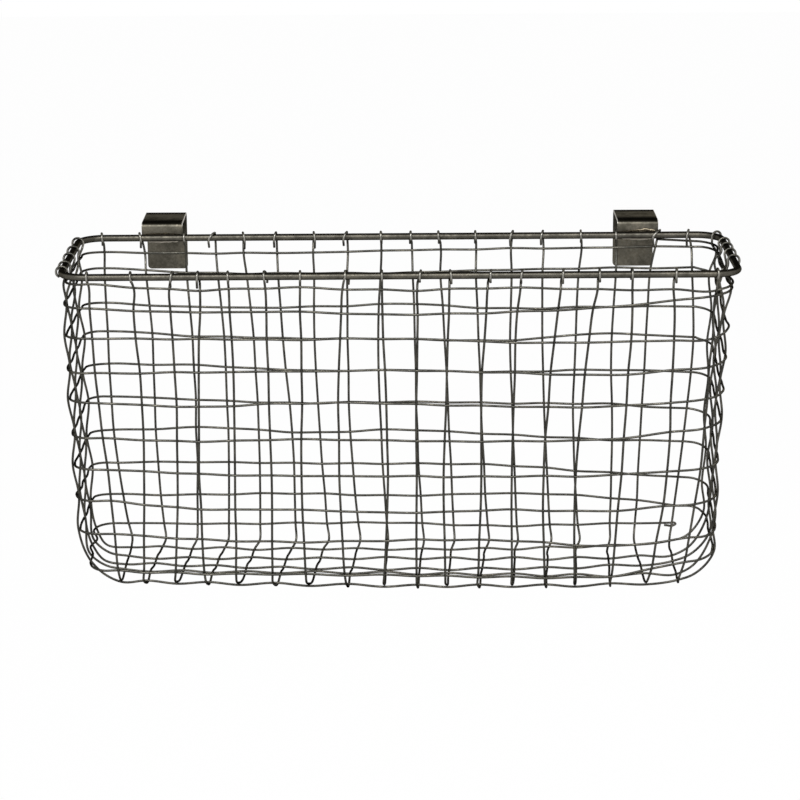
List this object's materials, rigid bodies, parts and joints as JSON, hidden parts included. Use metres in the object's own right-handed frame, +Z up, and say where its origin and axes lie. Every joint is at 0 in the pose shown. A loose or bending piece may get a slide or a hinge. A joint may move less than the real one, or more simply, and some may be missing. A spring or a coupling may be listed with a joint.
{
  "type": "hanging storage basket",
  "caption": "Open-top basket of woven wire on a heavy rod rim, with flat strip hooks at the back to hang it over a door, board or rail.",
  "frame": {"origin": "on the edge that the basket hangs over: midway between the two hooks, in the middle of their gap, at the underside of their top webs", "axes": "+X along the basket to the right as seen from the front, +Y from the basket towards the door or board that it hangs on, +Z up"},
  "size_m": [0.4544, 0.1721, 0.2315],
  "materials": {
    "rim_rod": "dark antique zinc with worn olive-brown highlights, satin",
    "basket_wire": "dark antique zinc, satin",
    "hook_strip": "dark antique zinc, satin, rubbed lighter along the bends",
    "braze": "dull golden-brown brazing metal, uneven"
  },
  "bodies": {
    "root": {"rim": "rim_rod", "cross_wire_01": "basket_wire", "cross_wire_02": "basket_wire", "cross_wire_03": "basket_wire", "cross_wire_04": "basket_wire", "cross_wire_05": "basket_wire", "cross_wire_06": "basket_wire", "cross_wire_07": "basket_wire", "cross_wire_08": "basket_wire", "cross_wire_09": "basket_wire", "cross_wire_10": "basket_wire", "cross_wire_11": "basket_wire", "cross_wire_12": "basket_wire", "cross_wire_13": "basket_wire", "cross_wire_14": "basket_wire", "cross_wire_15": "basket_wire", "cross_wire_16": "basket_wire", "cross_wire_17": "basket_wire", "cross_wire_18": "basket_wire", "hoop_01": "basket_wire", "hoop_02": "basket_wire", "hoop_03": "basket_wire", "hoop_04": "basket_wire", "hoop_05": "basket_wire", "hoop_06": "basket_wire", "hoop_07": "basket_wire", "hoop_08": "basket_wire", "hoop_09": "basket_wire", "hoop_10": "basket_wire", "lengthwise_wire_1": "basket_wire", "lengthwise_wire_2": "basket_wire", "lengthwise_wire_3": "basket_wire", "lengthwise_wire_4": "basket_wire", "lengthwise_wire_5": "basket_wire", "left_hook": "hook_strip", "right_hook": "hook_strip", "left_hook_upper_braze": "braze", "left_hook_lower_braze": "braze", "right_hook_upper_braze": "braze", "right_hook_lower_braze": "braze"}
  },
  "joints": []
}
